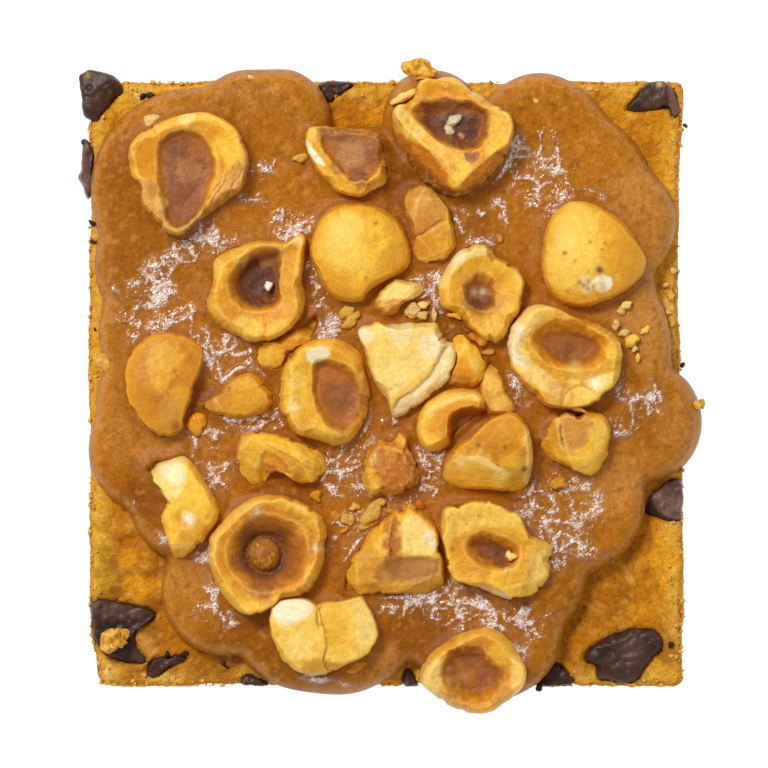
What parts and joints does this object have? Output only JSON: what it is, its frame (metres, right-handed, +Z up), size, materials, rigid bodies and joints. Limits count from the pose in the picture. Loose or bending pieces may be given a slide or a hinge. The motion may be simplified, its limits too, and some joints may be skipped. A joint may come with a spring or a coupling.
{
  "type": "hazelnut praline brookie",
  "caption": "Square bar of dark brownie under golden cookie, topped with glossy lobed praline sauce, roasted hazelnut halves and chocolate chunks.",
  "frame": {"origin": "middle of the bounding box in plan, on the table under the brownie layer", "axes": "+Z up, +Y towards the back edge and +X towards the right edge, as seen from above with the large tilted hazelnut cup at the back"},
  "size_m": [0.0799, 0.0828, 0.0351],
  "materials": {
    "brownie": "matte",
    "cookie": "matte",
    "praline_sauce": "gloss",
    "chocolate": "satin",
    "roasted_hazelnut": "satin"
  },
  "bodies": {
    "root": {"brownie_layer": "brownie", "cookie_layer": "cookie", "praline_sauce": "praline_sauce", "chocolate_01": "chocolate", "chocolate_02": "chocolate", "chocolate_03": "chocolate", "chocolate_04": "chocolate", "chocolate_05": "chocolate", "chocolate_06": "chocolate", "chocolate_07": "chocolate", "chocolate_08": "chocolate", "chocolate_09": "chocolate", "chocolate_10": "chocolate", "chocolate_11": "chocolate", "hazelnut_01": "roasted_hazelnut", "hazelnut_02": "roasted_hazelnut", "hazelnut_03": "roasted_hazelnut", "hazelnut_04": "roasted_hazelnut", "hazelnut_05": "roasted_hazelnut", "hazelnut_06": "roasted_hazelnut", "hazelnut_07": "roasted_hazelnut", "hazelnut_08": "roasted_hazelnut", "hazelnut_09": "roasted_hazelnut", "hazelnut_10": "roasted_hazelnut", "hazelnut_11": "roasted_hazelnut", "hazelnut_12": "roasted_hazelnut", "hazelnut_13": "roasted_hazelnut", "hazelnut_14": "roasted_hazelnut", "hazelnut_15": "roasted_hazelnut", "hazelnut_16": "roasted_hazelnut", "hazelnut_17": "roasted_hazelnut", "hazelnut_18": "roasted_hazelnut", "hazelnut_19": "roasted_hazelnut", "hazelnut_20": "roasted_hazelnut", "hazelnut_21": "roasted_hazelnut", "hazelnut_22": "roasted_hazelnut", "hazelnut_23": "roasted_hazelnut", "hazelnut_24": "roasted_hazelnut", "hazelnut_25": "roasted_hazelnut", "hazelnut_26": "roasted_hazelnut", "hazelnut_27": "roasted_hazelnut", "hazelnut_28": "roasted_hazelnut", "cookie_crumb_01": "cookie", "cookie_crumb_02": "cookie", "cookie_crumb_03": "cookie"}
  },
  "joints": []
}
